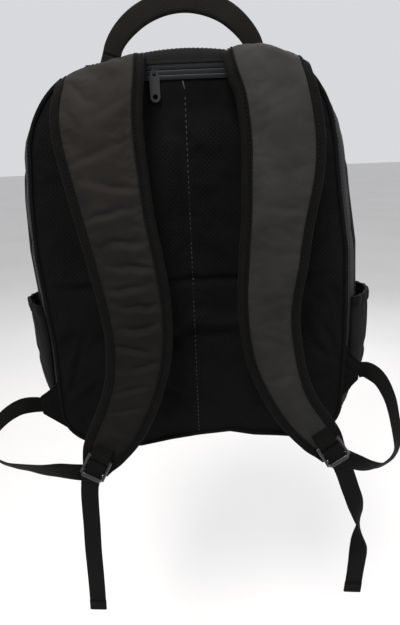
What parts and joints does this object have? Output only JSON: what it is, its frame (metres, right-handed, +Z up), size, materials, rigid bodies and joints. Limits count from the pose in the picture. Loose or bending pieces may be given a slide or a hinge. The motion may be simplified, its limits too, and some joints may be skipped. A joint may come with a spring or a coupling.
{
  "type": "racket backpack",
  "caption": "Soft racket backpack hung by its haul handle, with padded shoulder straps, ladder locks, hanging webbing tails, rear zip pocket and opening front flap",
  "frame": {"origin": "underside of the haul handle's grip, at its middle, where a hand or a hook holds the pack", "axes": "+Z up with the pack hanging, -Y towards the wearer, +Y to the front of the pack, and +X to the right as seen facing the harness, which is the wearer's left; left and right in the nodes' names are as seen facing the harness"},
  "size_m": [0.5053, 0.2806, 0.6914],
  "materials": {
    "strap_fabric": "fine matt twill",
    "air_mesh": "matt spacer mesh",
    "edge_binding": "matt ribbed binding",
    "body_fabric": "matt polyester canvas",
    "webbing": "woven polypropylene webbing",
    "foam": "closed-cell foam, matt",
    "lining": "plain woven lining",
    "coated_zip_tape": "satin water-resistant coating",
    "zip_tape": "woven zip tape",
    "zip_metal": "satin black enamel",
    "plastic": "black acetal, satin to gloss"
  },
  "bodies": {
    "pack": {"back_foam_pad": "foam", "back_lining": "lining", "back_mesh_cover": "air_mesh", "back_piping": "edge_binding", "base_board": "foam", "base_panel": "body_fabric", "corner_gusset_left": "edge_binding", "corner_gusset_right": "edge_binding", "front_base_band": "body_fabric", "main_zip_coil": "plastic", "main_zip_tape_outer": "zip_tape", "racket_sleeve": "lining", "rear_zip_tape_lower": "coated_zip_tape", "rear_zip_tape_upper": "coated_zip_tape", "side_panel_left": "body_fabric", "side_panel_right": "body_fabric", "side_pocket_hem_left": "edge_binding", "side_pocket_hem_right": "edge_binding", "side_pocket_left": "air_mesh", "side_pocket_right": "air_mesh", "top_panel": "body_fabric", "top_yoke": "body_fabric", "webbing_loop_left": "webbing", "webbing_loop_right": "webbing"},
    "haul_handle": {"haul_handle_band": "webbing", "haul_handle_pad_back": "webbing", "haul_handle_pad_front": "webbing"},
    "rear_slider": {"rear_zip_slider": "zip_metal"},
    "rear_puller": {"rear_zip_puller": "plastic"},
    "pocket_slider": {"front_pocket_slider": "zip_metal"},
    "pocket_puller": {"front_pocket_puller": "plastic"},
    "front_flap": {"front_panel": "body_fabric", "main_zip_tape_inner": "zip_tape", "front_pocket_wall": "body_fabric", "front_pocket_face": "body_fabric", "front_pocket_zip": "zip_tape", "front_pocket_hood": "body_fabric"},
    "main_slider_left": {"main_zip_left_slider": "zip_metal"},
    "main_puller_left": {"main_zip_left_puller": "plastic"},
    "strap_left": {"strap_face_left": "strap_fabric", "strap_foam_left": "foam", "strap_lining_left": "air_mesh", "strap_edge_inner_left": "edge_binding", "strap_edge_outer_left": "edge_binding", "strap_lock_tab_left": "webbing"},
    "lock_left": {"ladder_lock_left": "plastic", "webbing_tail_left": "webbing", "tail_hem_left": "webbing"},
    "main_slider_right": {"main_zip_right_slider": "zip_metal"},
    "main_puller_right": {"main_zip_right_puller": "plastic"},
    "strap_right": {"strap_face_right": "strap_fabric", "strap_foam_right": "foam", "strap_lining_right": "air_mesh", "strap_edge_inner_right": "edge_binding", "strap_edge_outer_right": "edge_binding", "strap_lock_tab_right": "webbing"},
    "lock_right": {"ladder_lock_right": "plastic", "webbing_tail_right": "webbing", "tail_hem_right": "webbing"}
  },
  "joints": [
    {"name": "haul_handle_fold", "type": "hinge", "parent": "pack", "child": "haul_handle", "pos_m": [0, 0, -0.0365], "axis": [1, 0, 0], "range_deg": [-60, 60]},
    {"name": "rear_zip_slide", "type": "slide", "parent": "pack", "child": "rear_slider", "axis": [1, 0, 0], "range_m": [0, 0.061]},
    {"name": "rear_puller_swing", "type": "hinge", "parent": "rear_slider", "child": "rear_puller", "pos_m": [-0.0305, -0.0112, -0.0545], "axis": [-1, 0, 0], "range_deg": [0, 150]},
    {"name": "main_zip_slide_left", "type": "slide", "parent": "pack", "child": "main_slider_left", "axis": [-0.0257, 0.0896, -0.9956], "range_m": [0, 0.27]},
    {"name": "main_puller_swing_left", "type": "hinge", "parent": "main_slider_left", "child": "main_puller_left", "pos_m": [-0.15286, 0.11499, -0.1432], "axis": [1, 0, 0], "range_deg": [0, 150]},
    {"name": "strap_swing_left", "type": "hinge", "parent": "pack", "child": "strap_left", "pos_m": [-0.082, -0.009, -0.0405], "axis": [-1, 0, 0], "range_deg": [0, 40], "deforming": ["webbing_loop_left"]},
    {"name": "lock_tilt_left", "type": "hinge", "parent": "strap_left", "child": "lock_left", "pos_m": [-0.10901, -0.09464, -0.45599], "axis": [-0.8837, 0.0896, 0.4594], "range_deg": [0, 35], "deforming": ["webbing_loop_left"]},
    {"name": "main_zip_slide_right", "type": "slide", "parent": "pack", "child": "main_slider_right", "axis": [0.0257, 0.0896, -0.9956], "range_m": [0, 0.27]},
    {"name": "main_puller_swing_right", "type": "hinge", "parent": "main_slider_right", "child": "main_puller_right", "pos_m": [0.15286, 0.11499, -0.1432], "axis": [1, 0, 0], "range_deg": [0, 150]},
    {"name": "strap_swing_right", "type": "hinge", "parent": "pack", "child": "strap_right", "pos_m": [0.082, -0.009, -0.0405], "axis": [-1, 0, 0], "range_deg": [0, 40], "deforming": ["webbing_loop_right"]},
    {"name": "lock_tilt_right", "type": "hinge", "parent": "strap_right", "child": "lock_right", "pos_m": [0.144, -0.09462, -0.44232], "axis": [-0.8452, -0.1057, -0.5239], "range_deg": [0, 35], "deforming": ["webbing_loop_right"]},
    {"name": "front_flap_open", "type": "hinge", "parent": "pack", "child": "front_flap", "pos_m": [0, 0.1384, -0.4435], "axis": [-1, 0, 0], "range_deg": [0, 90]},
    {"name": "front_pocket_zip_slide", "type": "slide", "parent": "front_flap", "child": "pocket_slider", "axis": [1, 0, 0], "range_m": [0, 0.192]},
    {"name": "front_pocket_puller_swing", "type": "hinge", "parent": "pocket_slider", "child": "pocket_puller", "pos_m": [-0.096, 0.15939, -0.2832], "axis": [1, 0, 0], "range_deg": [0, 150]}
  ]
}
